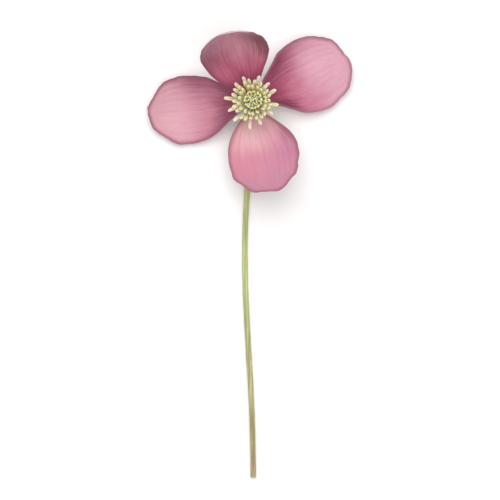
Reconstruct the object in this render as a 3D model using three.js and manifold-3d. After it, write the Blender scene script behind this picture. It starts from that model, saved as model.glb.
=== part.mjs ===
// A pink mountain clematis flower, cut with its stalk and lying face up on a flat surface.
// Four broad sepals stand in a cross on the swollen end of a long thin stalk. They surround a tuft
// of stamens, which has the silky green styles in its middle. The stalk bends sharply under the
// flower and then lies along the surface. Left, right, top and bottom are as seen from above.
// Millimetres, +Z up, surface at z = 0, stalk running from the flower towards -Y.

import * as THREE from 'three';
import { mergeVertices } from 'three/addons/utils/BufferGeometryUtils.js';
import Module from 'manifold-3d';

const wasm = await Module();
wasm.setup();

const { degToRad, lerp, smoothstep } = THREE.MathUtils;

// Where the flower stands: its centre lies here, so that the whole part is centred on the origin
const FLOWER_X = 0.65;
const FLOWER_Y = 30.98;

// Clearance between pieces that grow on each other
const GAP = 0.3;

// Stalk: an octagon across its flats, so that one flat lies on the surface
const STALK_THICK = 1.1;
const STALK_SIDES = 8;
const STALK_REACH = 76;
const STALK_SWAY = 1.7;
const NECK_RADIUS = 2.6;
const FLOWER_LEAN = degToRad(6);
const STALK_STEPS = 34;
const NECK_SHARE = 0.3;

// Receptacle: the swollen end of the stalk that every part of the flower grows on
const SEAT_RADIUS = 2.05;
const SEAT_TOP_RADIUS = 1.75;
const SEAT_HEIGHT = 1.5;
const SEAT_RIM = 0.45;
const SEAT_SUNK = 0.8;
const SEAT_WAIST = 0.62;
const SEAT_SIDES = 16;

// Sepals: blades cut flat to an egg shape, then bent, cupped and waved
const BLADE_THICK = 0.6;
const CLAW_HALF = 1.2;
const CLAW_CURL = 0.2;
const CLAW_END = 0.36;
const WIDEST_AT = 0.57;
const TIP_ROUND = 2.2;
const BROAD_LOBES = 5;
const SMALL_NOTCHES = 9;
const MARGIN_FROM = 0.35;
const MARGIN_WAVES = 9;
const OTHER_MARGIN_PHASE = 2;
const PRESSED = 0.12;
const ROWS_BELOW = 8;
const ROWS_ABOVE = 8;
const CELLS_ACROSS = 12;

// Stamens: rings of filaments, from the upright inner ones to the splayed outer ones
const STAMEN_RINGS = [
  { count: 13, root: 1.55, height: 6.3, lean: 3, bow: 0.1 },
  { count: 15, root: 1.65, height: 6.0, lean: 12, bow: 0.2 },
  { count: 17, root: 1.7, height: 5.7, lean: 23, bow: 0.3 },
  { count: 8, root: 1.75, height: 5.4, lean: 38, bow: 0.4 },
];
const RING_INNER = 1.3;
const RING_OUTER = 2.0;
const RING_HEIGHT = 0.7;
const FILAMENT_RADIUS = 0.2;
const ANTHER_RADIUS = 0.52;
const ANTHER_LENGTH = 1.9;
const ANTHER_FLATNESS = 0.8;
const STAMEN_SIDES = 5;
const RING_SIDES = 20;

// Pistils: one in the middle and two rings of slender styles on a small round base
const PISTIL_RINGS = [
  { count: 1, root: 0, height: 6.6, lean: 0, bow: 0 },
  { count: 6, root: 0.42, height: 6.4, lean: 3, bow: 0.1 },
  { count: 9, root: 0.8, height: 6.0, lean: 4, bow: 0.1 },
];
const PISTIL_BASE_RADIUS = 1.02;
const PISTIL_BASE_HEIGHT = 0.8;
const STYLE_RADIUS = 0.21;
const STYLE_TIP_RADIUS = 0.12;
const STYLE_SIDES = 5;
const PISTIL_BASE_SIDES = 12;

// How much the growths of a tuft differ from each other in height, lean and place in their ring
const HEIGHT_SPREAD = 0.12;
const LEAN_SPREAD = 0.3;
const PLACE_SPREAD = 0.3;

// Heights that follow: the neck turns up from the surface through a right angle and the lean
const STALK_AXIS_Z = STALK_THICK / 2;
const NECK_TURN = Math.PI / 2 + FLOWER_LEAN;
const NECK_START_Y = SEAT_HEIGHT * Math.sin(FLOWER_LEAN) - NECK_RADIUS * Math.sin(NECK_TURN);
const NECK_TOP_Z = STALK_AXIS_Z + NECK_RADIUS * (1 - Math.cos(NECK_TURN));
const SEAT_TOP_Z = NECK_TOP_Z + SEAT_HEIGHT * Math.cos(FLOWER_LEAN);
const CLAW_RADIUS = SEAT_RADIUS + GAP;
const CLAW_Z = SEAT_TOP_Z - SEAT_RIM - BLADE_THICK;

// Sepals as they stand: azimuth, length and width, how fast the shoulder of either side widens
// (from 0, at once, to 1, slowly), then the slope of the midrib at its claw, middle and tip, the
// cup across the blade, the roll about the midrib, the height of the margin's waves and their
// phase, the depth of the outline's broad lobes and of its small notches, and the margin that
// curls up most. The claw of a resting sepal bends down until the blade lies on the surface.
const SEPALS = [
  {
    name: 'sepal_top', azimuth: 110.5, length: 21.8, width: 15.3, shoulders: [0.8, 0.7],
    slopes: [14, 58, 112], cup: 38, roll: -11, wave: 0.35, phase: 0.8, lobe: 0.02, notch: 0.015,
    curl: 0.5, curlSide: 1, rests: false,
  },
  {
    name: 'sepal_right', azimuth: 27.5, length: 20.9, width: 16.2, shoulders: [0.8, 0.45],
    slopes: [-27, -7, 34], cup: 26, roll: 2, wave: 0.35, phase: 2.4, lobe: 0.025, notch: 0.015,
    curl: 1.5, curlSide: 1, rests: true,
  },
  {
    name: 'sepal_bottom', azimuth: 281, length: 19.2, width: 15.2, shoulders: [0.5, 0.75],
    slopes: [4, 22, 40], cup: 26, roll: 4, wave: 0.35, phase: 4.1, lobe: 0.02, notch: 0.035,
    curl: 0.9, curlSide: 1, rests: false,
  },
  {
    name: 'sepal_left', azimuth: 184.5, length: 20.6, width: 14.6, shoulders: [0.55, 0.8],
    slopes: [-27, -7, 34], cup: 26, roll: -3, wave: 0.35, phase: 5.5, lobe: 0.025, notch: 0.015,
    curl: 1.0, curlSide: -1, rests: true,
  },
];

const finish = {
  stalk: new THREE.MeshStandardMaterial({ color: 0xb4b98a, roughness: 0.6, metalness: 0 }),
  sepal: new THREE.MeshStandardMaterial({ color: 0xd88fa4, roughness: 0.65, metalness: 0 }),
  shadedSepal: new THREE.MeshStandardMaterial({ color: 0xb4687a, roughness: 0.65, metalness: 0 }),
  stamen: new THREE.MeshStandardMaterial({ color: 0xe2dcae, roughness: 0.7, metalness: 0 }),
  style: new THREE.MeshStandardMaterial({ color: 0xb9c07a, roughness: 0.7, metalness: 0 }),
};

// A number from 0 to 1 that looks random and is the same for the same seed
function vary(seed) {
  const value = Math.sin(seed * 12.9898) * 43758.5453;
  return value - Math.floor(value);
}

// Turns a closed geometry into a solid that can be joined with others
function toSolid(geometry) {
  const bare = geometry.clone();
  bare.deleteAttribute('normal');
  bare.deleteAttribute('uv');
  const merged = mergeVertices(bare, 1e-4);
  const corners = merged.getIndex().array;
  const kept = [];
  for (let i = 0; i < corners.length; i += 3) {
    const [a, b, c] = [corners[i], corners[i + 1], corners[i + 2]];
    if (a !== b && b !== c && c !== a) kept.push(a, b, c);
  }
  return new wasm.Manifold(new wasm.Mesh({
    numProp: 3,
    vertProperties: new Float32Array(merged.getAttribute('position').array),
    triVerts: new Uint32Array(kept),
  }));
}

function toGeometry(solid) {
  const { vertProperties, triVerts } = solid.getMesh();
  const geometry = new THREE.BufferGeometry();
  geometry.setAttribute('position', new THREE.BufferAttribute(vertProperties, 3));
  geometry.setIndex(new THREE.BufferAttribute(triVerts, 1));
  geometry.computeVertexNormals();
  return geometry;
}

function joined(geometries) {
  const solids = geometries.map(toSolid);
  return toGeometry(solids.reduce((whole, solid) => whole.add(solid)));
}

// A turned shape standing on the XY plane, from a profile of [radius, height] points
function turned(profile, sides) {
  const points = profile.map(([radius, height]) => new THREE.Vector2(radius, height));
  return new THREE.LatheGeometry(points, sides).rotateX(Math.PI / 2);
}

// Centre line of the stalk: along the surface in a lazy bow, then round the neck.
// The steps are closer together in the neck than along the surface.
class StalkLine extends THREE.Curve {
  getUtoTmapping(u) {
    return u;
  }

  getPoint(t, target = new THREE.Vector3()) {
    const lyingShare = 1 - NECK_SHARE;
    if (t < lyingShare) {
      const fromNeck = 1 - t / lyingShare;
      const bow = Math.sin(Math.PI * fromNeck ** 0.72) ** 2;
      return target.set(-STALK_SWAY * bow, lerp(NECK_START_Y, -STALK_REACH, fromNeck), STALK_AXIS_Z);
    }
    const turn = NECK_TURN * (t - lyingShare) / NECK_SHARE;
    return target.set(
      0,
      NECK_START_Y + NECK_RADIUS * Math.sin(turn),
      STALK_AXIS_Z + NECK_RADIUS * (1 - Math.cos(turn)),
    );
  }
}

function stalkSection() {
  const cornerRadius = STALK_THICK / 2 / Math.cos(Math.PI / STALK_SIDES);
  const corners = [];
  for (let i = 0; i < STALK_SIDES; i += 1) {
    const angle = (i + 0.5) * 2 * Math.PI / STALK_SIDES;
    corners.push(new THREE.Vector2(cornerRadius * Math.cos(angle), cornerRadius * Math.sin(angle)));
  }
  return new THREE.Shape(corners);
}

// Stalk and receptacle are one growth, so they are one solid
function pedicelGeometry() {
  const stalk = new THREE.ExtrudeGeometry(stalkSection(), {
    steps: STALK_STEPS, bevelEnabled: false, extrudePath: new StalkLine(),
  });
  const seat = turned([
    [0, -SEAT_HEIGHT - SEAT_SUNK],
    [STALK_AXIS_Z * 0.8, -SEAT_HEIGHT - SEAT_SUNK],
    [STALK_AXIS_Z * 1.2, -SEAT_HEIGHT],
    [SEAT_RADIUS * SEAT_WAIST, -SEAT_HEIGHT * 0.7],
    [SEAT_RADIUS, -SEAT_RIM - BLADE_THICK / 2],
    [SEAT_RADIUS, -SEAT_RIM],
    [SEAT_TOP_RADIUS, 0],
    [0, 0],
  ], SEAT_SIDES);
  seat.rotateX(FLOWER_LEAN).translate(0, 0, SEAT_TOP_Z);
  return joined([stalk, seat]);
}

// Half the width of the flat blade on one of its sides, from the claw at 0 to the tip at 1
function halfWidth(sepal, along, across) {
  const widest = sepal.width / 2;
  if (along < WIDEST_AT) {
    const shoulder = sepal.shoulders[across < 0 ? 0 : 1];
    const opening = Math.sin(Math.PI / 2 * along / WIDEST_AT) ** shoulder;
    return lerp(CLAW_HALF, widest, opening);
  }
  const closing = (along - WIDEST_AT) / (1 - WIDEST_AT);
  return widest * Math.sqrt(Math.max(0, 1 - closing ** TIP_ROUND));
}

// Pushes the outline of the blade's outer half in and out, in broad lobes and small notches
function lobed(sepal, along, across) {
  const forward = (along - WIDEST_AT) / (1 - WIDEST_AT);
  if (forward < 0) return 1;
  const sideways = across * halfWidth(sepal, along, across) / (sepal.width / 2);
  const reach = Math.min(1, Math.hypot(forward, sideways));
  const around = Math.atan2(sideways, forward);
  const lobes = sepal.lobe * Math.cos(BROAD_LOBES * around + sepal.phase)
    + sepal.notch * Math.cos(SMALL_NOTCHES * around - 2 * sepal.phase);
  return 1 + lobes * reach ** 2 * smoothstep(forward, 0, 1 - WIDEST_AT);
}

// Slope of the midrib, on the smooth curve through its claw, middle and tip
function midribSlope(sepal, along) {
  const [claw, middle, tip] = sepal.slopes;
  const slope = claw * (1 - along) * (1 - 2 * along)
    + 4 * middle * along * (1 - along)
    + tip * along * (2 * along - 1);
  return degToRad(slope);
}

// The midrib rises outwards in its own upright plane: adds up its slopes in short steps
function midribPoint(sepal, along) {
  const steps = 40;
  const stride = along * sepal.length / steps;
  let out = CLAW_RADIUS;
  let up = CLAW_Z + CLAW_RADIUS * Math.sin(FLOWER_LEAN) * Math.sin(degToRad(sepal.azimuth));
  for (let i = 0; i < steps; i += 1) {
    const slope = midribSlope(sepal, along * (i + 0.5) / steps);
    out += stride * Math.cos(slope);
    up += stride * Math.sin(slope);
  }
  return { out, up };
}

// The blade's back at one place, before it meets the surface, and the way it faces there.
// The blade grows along +X here.
function bladeBack(sepal, along, across) {
  const scale = lobed(sepal, along, across);
  const place = WIDEST_AT + (along - WIDEST_AT) * (along > WIDEST_AT ? scale : 1);
  const { out, up } = midribPoint(sepal, place);
  const slope = midribSlope(sepal, Math.min(place, 1));
  const side = across * halfWidth(sepal, along, across) * scale;

  const bladeCurl = degToRad(sepal.cup) / (sepal.width / 2);
  const curl = lerp(CLAW_CURL, bladeCurl, smoothstep(along, 0, CLAW_END));
  const bend = curl * side;
  const outer = Math.max(0, Math.abs(across) - MARGIN_FROM) / (1 - MARGIN_FROM);
  const onCurlSide = Math.max(0, across * sepal.curlSide);
  const body = Math.sin(Math.PI * Math.min(1, along));
  const wave = sepal.wave * outer ** 2 * body
    * Math.sin(MARGIN_WAVES * along + sepal.phase + (across > 0 ? 0 : OTHER_MARGIN_PHASE));
  const rolledUp = sepal.curl * onCurlSide ** 4 * body;
  const sideways = Math.sin(bend) / curl;
  const raised = (1 - Math.cos(bend)) / curl + wave + rolledUp;

  const tangent = new THREE.Vector3(Math.cos(slope), 0, Math.sin(slope));
  const roll = degToRad(sepal.roll) * smoothstep(along, 0, CLAW_END);
  const lateral = new THREE.Vector3(0, 1, 0).applyAxisAngle(tangent, roll);
  const facing = new THREE.Vector3().crossVectors(tangent, lateral);
  const normal = facing.clone().multiplyScalar(Math.cos(bend));
  normal.addScaledVector(lateral, -Math.sin(bend));

  const back = new THREE.Vector3(out, 0, up);
  back.addScaledVector(lateral, sideways).addScaledVector(facing, raised);
  return { back, normal };
}

// Back and front of the blade at one place. Where it lies on the surface its back is flat.
function bladePoints(sepal, along, across) {
  const { back, normal } = bladeBack(sepal, along, across);
  back.z = Math.max(back.z, 0);
  const front = back.clone().addScaledVector(normal, BLADE_THICK);
  return { back, front };
}

// Bends the claw of a resting sepal down until the belly of the blade presses on the surface
function settled(sepal) {
  if (!sepal.rests) return sepal;
  const [, middle, tip] = sepal.slopes;
  let bent = sepal;
  let [steep, gentle] = [-60, 0];
  for (let i = 0; i < 20; i += 1) {
    const claw = (steep + gentle) / 2;
    bent = { ...sepal, slopes: [claw, middle, tip] };
    const lowest = Math.min(...bladeRows().map((along) => bladeBack(bent, along, 0).back.z));
    if (lowest > -PRESSED) gentle = claw;
    else steep = claw;
  }
  return bent;
}

// Rows of the blade: even below its widest place, closing in on the round tip above it
function bladeRows() {
  const rows = [];
  for (let i = 0; i < ROWS_BELOW; i += 1) rows.push(WIDEST_AT * i / ROWS_BELOW);
  for (let i = 0; i < ROWS_ABOVE; i += 1) {
    rows.push(WIDEST_AT + (1 - WIDEST_AT) * Math.sin(Math.PI / 2 * i / ROWS_ABOVE));
  }
  return rows;
}

function sepalGeometry(sepal) {
  const rows = bladeRows();
  const wide = CELLS_ACROSS + 1;
  const backs = [];
  const fronts = [];
  for (const along of rows) {
    for (let j = 0; j < wide; j += 1) {
      const { back, front } = bladePoints(sepal, along, 2 * j / CELLS_ACROSS - 1);
      backs.push(back);
      fronts.push(front);
    }
  }
  const tip = bladePoints(sepal, 1, 0);
  backs.push(tip.back);
  fronts.push(tip.front);

  // Triangles of one face, the same on both, and the loop of its edge
  const face = [];
  for (let i = 0; i + 1 < rows.length; i += 1) {
    for (let j = 0; j < CELLS_ACROSS; j += 1) {
      const corner = i * wide + j;
      face.push([corner, corner + wide, corner + wide + 1], [corner, corner + wide + 1, corner + 1]);
    }
  }
  const lastRow = (rows.length - 1) * wide;
  const tipIndex = rows.length * wide;
  for (let j = 0; j < CELLS_ACROSS; j += 1) face.push([lastRow + j, tipIndex, lastRow + j + 1]);
  const edge = [];
  for (let j = 0; j < wide; j += 1) edge.push(j);
  for (let i = 1; i < rows.length; i += 1) edge.push(i * wide + CELLS_ACROSS);
  edge.push(tipIndex);
  for (let i = rows.length - 1; i > 0; i -= 1) edge.push(i * wide);

  const frontOffset = backs.length;
  const index = [];
  for (const [a, b, c] of face) {
    index.push(a, c, b);
    index.push(frontOffset + a, frontOffset + b, frontOffset + c);
  }
  for (let k = 0; k < edge.length; k += 1) {
    const here = edge[k];
    const next = edge[(k + 1) % edge.length];
    index.push(next, here, frontOffset + here, next, frontOffset + here, frontOffset + next);
  }
  const geometry = new THREE.BufferGeometry().setFromPoints([...backs, ...fronts]);
  geometry.setIndex(index);
  geometry.computeVertexNormals();
  return geometry;
}

// Leans and bows an upright turned shape outwards, then carries it to its root
function leaned(geometry, { root, height, lean, bow }, azimuth) {
  const place = geometry.getAttribute('position');
  const outwards = Math.sin(degToRad(lean));
  const upwards = Math.cos(degToRad(lean));
  for (let i = 0; i < place.count; i += 1) {
    const rise = place.getZ(i);
    const swing = bow * (rise / height) ** 2;
    const across = place.getX(i);
    place.setX(i, root + across * upwards + rise * outwards + swing);
    place.setZ(i, rise * upwards - across * outwards);
  }
  return geometry.rotateZ(azimuth);
}

// Fused growths of one kind: each stands in its ring with small differences in height and lean
function tuft(rings, base, makeOne) {
  const pieces = [base];
  rings.forEach((ring, ringNumber) => {
    for (let i = 0; i < ring.count; i += 1) {
      const seed = 100 * ringNumber + i + 1;
      const height = ring.height * (1 + HEIGHT_SPREAD * (vary(seed) - 0.5));
      const lean = ring.lean * (1 + LEAN_SPREAD * (vary(seed + 0.37) - 0.5));
      const place = i + ringNumber / 2 + PLACE_SPREAD * vary(seed + 0.71);
      const azimuth = place * 2 * Math.PI / ring.count;
      pieces.push(leaned(makeOne(height), { ...ring, height, lean }, azimuth));
    }
  });
  return joined(pieces);
}

function stamen(height) {
  const neck = height - ANTHER_LENGTH;
  return turned([
    [0, 0],
    [FILAMENT_RADIUS * 1.15, 0],
    [FILAMENT_RADIUS * 1.05, neck * 0.4],
    [FILAMENT_RADIUS, neck * 0.75],
    [FILAMENT_RADIUS, neck],
    [ANTHER_RADIUS, neck + ANTHER_LENGTH * 0.28],
    [ANTHER_RADIUS * 0.94, neck + ANTHER_LENGTH * 0.75],
    [0, height],
  ], STAMEN_SIDES).scale(ANTHER_FLATNESS, 1, 1);
}

function pistil(height) {
  return turned([
    [0, 0],
    [STYLE_RADIUS * 1.2, 0],
    [STYLE_RADIUS * 1.3, height * 0.3],
    [STYLE_RADIUS, height * 0.65],
    [STYLE_TIP_RADIUS, height * 0.96],
    [0, height],
  ], STYLE_SIDES);
}

function stamensGeometry() {
  const ring = turned([
    [RING_INNER, 0],
    [RING_OUTER, 0],
    [RING_OUTER, RING_HEIGHT * 0.6],
    [RING_OUTER - 0.3, RING_HEIGHT],
    [RING_INNER, RING_HEIGHT],
    [RING_INNER, 0],
  ], RING_SIDES);
  return tuft(STAMEN_RINGS, ring, stamen);
}

function pistilsGeometry() {
  const base = turned([
    [0, 0],
    [PISTIL_BASE_RADIUS, 0],
    [PISTIL_BASE_RADIUS, PISTIL_BASE_HEIGHT * 0.7],
    [PISTIL_BASE_RADIUS * 0.7, PISTIL_BASE_HEIGHT],
    [0, PISTIL_BASE_HEIGHT],
  ], PISTIL_BASE_SIDES);
  return tuft(PISTIL_RINGS, base, pistil);
}

function piece(name, geometry, material) {
  const mesh = new THREE.Mesh(geometry, material);
  mesh.name = name;
  return mesh;
}

const flower = new THREE.Group();
flower.position.set(FLOWER_X, FLOWER_Y, 0);
flower.add(piece('pedicel', pedicelGeometry(), finish.stalk));

for (const sepal of SEPALS) {
  const material = sepal.name === 'sepal_top' ? finish.shadedSepal : finish.sepal;
  const blade = piece(sepal.name, sepalGeometry(settled(sepal)), material);
  blade.rotation.z = degToRad(sepal.azimuth);
  flower.add(blade);
}

// The tuft stands on the receptacle and leans with it
const heart = new THREE.Group();
heart.position.z = SEAT_TOP_Z;
heart.rotation.x = FLOWER_LEAN;
const stamens = piece('stamens', stamensGeometry(), finish.stamen);
const pistils = piece('pistils', pistilsGeometry(), finish.style);
stamens.position.z = GAP;
pistils.position.z = GAP;
heart.add(stamens, pistils);
flower.add(heart);

const clematis = new THREE.Group();
clematis.add(flower);

export default clematis;
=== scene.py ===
# A pink mountain clematis flower, cut with its stalk and lying face up on a pale table.
# The pieces follow the flower as it grew: the stalk with the receptacle, the four sepals, the
# silky styles in the middle and the tuft of stamens round them. Then come the table, the light
# and the camera. Pieces are shaped in millimetres round the flower's own centre, and are carried
# to their place in the frame, in metres, when they are done.

import math

import bpy
import numpy as np
from mathutils import Matrix, Vector, noise


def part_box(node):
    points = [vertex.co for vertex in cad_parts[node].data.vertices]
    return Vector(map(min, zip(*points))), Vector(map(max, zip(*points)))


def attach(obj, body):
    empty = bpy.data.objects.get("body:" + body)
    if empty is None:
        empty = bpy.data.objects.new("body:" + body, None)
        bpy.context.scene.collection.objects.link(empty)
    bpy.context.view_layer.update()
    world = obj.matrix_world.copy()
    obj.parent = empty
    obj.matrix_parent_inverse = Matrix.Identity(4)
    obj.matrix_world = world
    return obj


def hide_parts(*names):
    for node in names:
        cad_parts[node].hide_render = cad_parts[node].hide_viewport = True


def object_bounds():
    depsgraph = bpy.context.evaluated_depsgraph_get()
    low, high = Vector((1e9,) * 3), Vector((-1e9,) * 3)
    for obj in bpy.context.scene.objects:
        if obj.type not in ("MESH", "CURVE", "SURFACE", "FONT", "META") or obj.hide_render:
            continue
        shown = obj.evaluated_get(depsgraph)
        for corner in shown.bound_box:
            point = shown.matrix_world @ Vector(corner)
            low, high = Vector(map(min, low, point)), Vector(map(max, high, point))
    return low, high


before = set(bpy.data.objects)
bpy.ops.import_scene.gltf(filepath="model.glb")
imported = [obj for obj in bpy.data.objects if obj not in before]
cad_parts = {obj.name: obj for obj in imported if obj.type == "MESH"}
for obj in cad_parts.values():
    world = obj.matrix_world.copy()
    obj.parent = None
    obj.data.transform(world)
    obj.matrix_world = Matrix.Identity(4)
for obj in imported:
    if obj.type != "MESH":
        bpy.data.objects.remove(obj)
cad_low, cad_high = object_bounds()
bpy.ops.object.select_all(action="DESELECT")


# Stalk and receptacle
# The long thin stalk is one growth with its swollen end, the receptacle, which carries the rest of
# the flower. It is soft green tissue, finely ribbed and downy, reddish towards the cut end, where
# the pale pith shows. It lies along the table and turns up sharply under the flower.

STALK_RADIUS = 0.55
STALK_SIDES = 24
RIB_DEPTH = 0.05
RIBS_RUN_OUT = 0.75
STALK_REACH = 76
STALK_SWAY = 1.7
SWAY_NEARER_NECK = 0.72
STALK_STEPS = 76
PITH_RADIUS = 0.3
PITH_HOLLOW = 0.12
PITH_EDGE = 0.03
NECK_RADIUS = 2.6
NECK_STEPS = 14
FLOWER_LEAN = math.radians(6)

SEAT_RADIUS = 2.05
SEAT_HEIGHT = 1.5
SEAT_RIM = 0.45
SEAT_PROFILE = [
    (0.60, -1.50), (0.72, -1.36), (0.95, -1.20), (1.32, -1.04), (1.68, -0.88), (1.94, -0.70),
    (2.03, -0.50), (1.98, -0.26), (1.84, -0.05), (1.72, 0.18), (1.62, 0.42), (1.42, 0.62),
    (1.05, 0.74), (0.50, 0.80),
]

# Places nearer to each other than this count as one
NEAR = 0.01

# The flower's centre, from where the frame's stalk ends and its receptacle reaches
stalk_low, stalk_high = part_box("pedicel")
FLOWER_X = stalk_high.x * 1000 - SEAT_RADIUS
FLOWER_Y = stalk_low.y * 1000 + STALK_REACH

NECK_TURN = math.pi / 2 + FLOWER_LEAN
NECK_START_Y = SEAT_HEIGHT * math.sin(FLOWER_LEAN) - NECK_RADIUS * math.sin(NECK_TURN)
NECK_TOP_Z = STALK_RADIUS + NECK_RADIUS * (1 - math.cos(NECK_TURN))
SEAT_TOP_Z = NECK_TOP_Z + SEAT_HEIGHT * math.cos(FLOWER_LEAN)
TO_HEART = Matrix.Translation((0, 0, SEAT_TOP_Z)) @ Matrix.Rotation(FLOWER_LEAN, 4, "X")


def vary(seed):
    """A number from 0 to 1 that looks random and is the same for the same seed."""
    return math.sin(seed * 12.9898) * 43758.5453 % 1


def colour(code):
    """The linear colour of a screen colour written as 0xRRGGBB."""
    parts = [(code >> shift & 255) / 255 for shift in (16, 8, 0)]
    return [p / 12.92 if p <= 0.04045 else ((p + 0.055) / 1.055) ** 2.4 for p in parts] + [1]


class Finish:
    """A material in the making. Its calls add nodes, fed by numbers or by earlier nodes."""

    def __init__(self, name, **sockets):
        self.material = bpy.data.materials.new(name)
        self.material.use_nodes = True
        self.tree = self.material.node_tree
        self.shader = self.tree.nodes["Principled BSDF"]
        for socket, value in sockets.items():
            self.shader.inputs[socket.replace("_", " ")].default_value = value

    def add(self, kind, feeds, output=0, **options):
        node = self.tree.nodes.new("ShaderNode" + kind)
        for option, value in options.items():
            setattr(node, option, value)
        for socket, feed in feeds.items():
            if isinstance(feed, bpy.types.NodeSocket):
                self.tree.links.new(feed, node.inputs[socket])
            else:
                node.inputs[socket].default_value = feed
        return node.outputs[output]

    def place(self):
        return self.add("TexCoord", {}, output="Object")

    def part(self, vector, axis):
        return self.add("SeparateXYZ", {0: vector}, output=axis)

    def attribute(self, name):
        return self.add("Attribute", {}, output="Fac", attribute_name=name)

    def point(self, x, y, z):
        return self.add("CombineXYZ", {0: x, 1: y, 2: z})

    def stretch(self, vector, scale):
        return self.add("Mapping", {"Vector": vector, "Scale": scale})

    def math(self, operation, *values):
        return self.add("Math", dict(enumerate(values)), operation=operation)

    def span(self, value, low, high, out_low=0.0, out_high=1.0):
        """Passes softly from one number to another while the value passes from low to high."""
        feeds = {0: value, 1: low, 2: high, 3: out_low, 4: out_high}
        return self.add("MapRange", feeds, interpolation_type="SMOOTHSTEP")

    def clouds(self, vector, scale, detail):
        return self.add("TexNoise", {"Vector": vector, "Scale": scale, "Detail": detail})

    def stir(self, value, clouds, amount):
        """The value, moved up and down by clouds, by half the amount at most."""
        return self.math("MULTIPLY_ADD", self.math("SUBTRACT", clouds, 0.5), amount, value)

    def ramp(self, value, *stops):
        made = self.add("ValToRGB", {0: value})
        elements = made.node.color_ramp.elements
        while len(elements) < len(stops):
            elements.new(1)
        for element, (position, code) in zip(elements, stops):
            element.position = position
            element.color = colour(code)
        return made

    def mix(self, share, first, second):
        return self.add("Mix", {0: share, 6: first, 7: second}, output=2, data_type="RGBA")

    def bump(self, height, depth):
        """Raises the surface by the height, which runs from 0 to 1, times the depth in metres."""
        normal = self.add("Bump", {"Height": height, "Distance": depth})
        self.tree.links.new(normal, self.shader.inputs["Normal"])

    def wear(self, base, roughness):
        """Joins colour and roughness to the shader, and hands over the finished material."""
        self.tree.links.new(base, self.shader.inputs["Base Color"])
        self.tree.links.new(roughness, self.shader.inputs["Roughness"])
        return self.material


def to_frame(piece):
    """Carries a piece from millimetres round the flower's centre to metres in the frame."""
    piece.data.transform(Matrix.Translation((FLOWER_X, FLOWER_Y, 0)))
    piece.data.transform(Matrix.Scale(0.001, 4))


def start_piece(name):
    """Names the primitive just added and opens it for editing."""
    piece = bpy.context.object
    piece.name = piece.data.name = name
    bpy.ops.object.mode_set(mode="EDIT")
    return piece


def close_piece(piece, smooth_under=50):
    bpy.ops.object.mode_set(mode="OBJECT")
    bpy.ops.object.shade_smooth_by_angle(angle=math.radians(smooth_under))
    piece.select_set(False)


def extrude_by(step, scale=1.0, centre=None):
    """Extrudes what is selected by a step, then scales it round its new centre."""
    bpy.ops.mesh.extrude_region_move(TRANSFORM_OT_translate={"value": step})
    if centre is not None:
        bpy.ops.transform.resize(value=(scale, scale, scale), center_override=centre)


def needles(name, stands, radius):
    """Fine bent hairs, each three-sided, from a list of root, direction, bend and length."""
    places, faces = [], []
    for root, direction, bend, length in stands:
        side = direction.orthogonal().normalized()
        other = direction.cross(side)
        first = len(places)
        for share, thin in ((0, 1), (0.5, 0.7)):
            centre = root + length * (direction * share + bend * share ** 2)
            for angle in (0, math.tau / 3, 2 * math.tau / 3):
                spoke = side * math.cos(angle) + other * math.sin(angle)
                places.append(centre + spoke * radius * thin)
        places.append(root + length * (direction + bend))
        faces.append((first + 2, first + 1, first))
        for i in range(3):
            j = (i + 1) % 3
            faces.append((first + i, first + j, first + 3 + j, first + 3 + i))
            faces.append((first + 3 + i, first + 3 + j, first + 6))
    mesh = bpy.data.meshes.new(name)
    mesh.from_pydata(places, [], faces)
    mesh.shade_smooth()
    piece = bpy.data.objects.new(name, mesh)
    bpy.context.scene.collection.objects.link(piece)
    return piece


def stalk_centre(from_neck):
    """A point of the lying stalk's centre line, from the neck at 0 to the cut end at 1."""
    bow = math.sin(math.pi * from_neck ** SWAY_NEARER_NECK) ** 2
    y = NECK_START_Y - from_neck * (STALK_REACH + NECK_START_Y)
    return Vector((-STALK_SWAY * bow, y, STALK_RADIUS))


# The stalk starts as its own ribbed cross-section at the cut end
cut_end = stalk_centre(1)
bpy.ops.mesh.primitive_circle_add(
    vertices=STALK_SIDES, radius=STALK_RADIUS, fill_type="NGON", location=cut_end,
    rotation=(math.pi / 2, 0, 0),
)
bpy.ops.object.transform_apply(location=True, rotation=True, scale=True)
for vertex in list(bpy.context.object.data.vertices)[1::2]:
    vertex.co = cut_end + (vertex.co - cut_end) * (1 - RIB_DEPTH / STALK_RADIUS)
stalk = start_piece("stalk")

# Along the table, round the neck, and out into the receptacle
here = cut_end
for i in range(1, STALK_STEPS + 1):
    there = stalk_centre(1 - i / STALK_STEPS)
    extrude_by(there - here)
    here = there
bpy.ops.mesh.spin(
    steps=NECK_STEPS, angle=NECK_TURN, center=here + Vector((0, 0, NECK_RADIUS)), axis=(-1, 0, 0),
)
lean_axis = TO_HEART.to_3x3() @ Vector((0, 0, 1))
seat_top = Vector((0, 0, SEAT_TOP_Z))
radius, height = STALK_RADIUS, -SEAT_HEIGHT
for next_radius, next_height in SEAT_PROFILE:
    step = lean_axis * (next_height - height)
    extrude_by(step, next_radius / radius, seat_top + lean_axis * next_height)
    radius, height = next_radius, next_height

# The cut end: the rind stands a little proud of the pith
bpy.ops.mesh.select_all(action="SELECT")
bpy.ops.mesh.normals_make_consistent(inside=False)
bpy.ops.mesh.select_all(action="DESELECT")
bpy.ops.object.mode_set(mode="OBJECT")
for polygon in stalk.data.polygons:
    polygon.select = polygon.normal.y < -0.9 and polygon.center.y < cut_end.y + NEAR
bpy.ops.object.mode_set(mode="EDIT")
bpy.ops.mesh.inset(thickness=STALK_RADIUS - PITH_RADIUS)
bpy.ops.mesh.inset(thickness=PITH_EDGE, depth=-PITH_HOLLOW)
close_piece(stalk)

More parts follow.
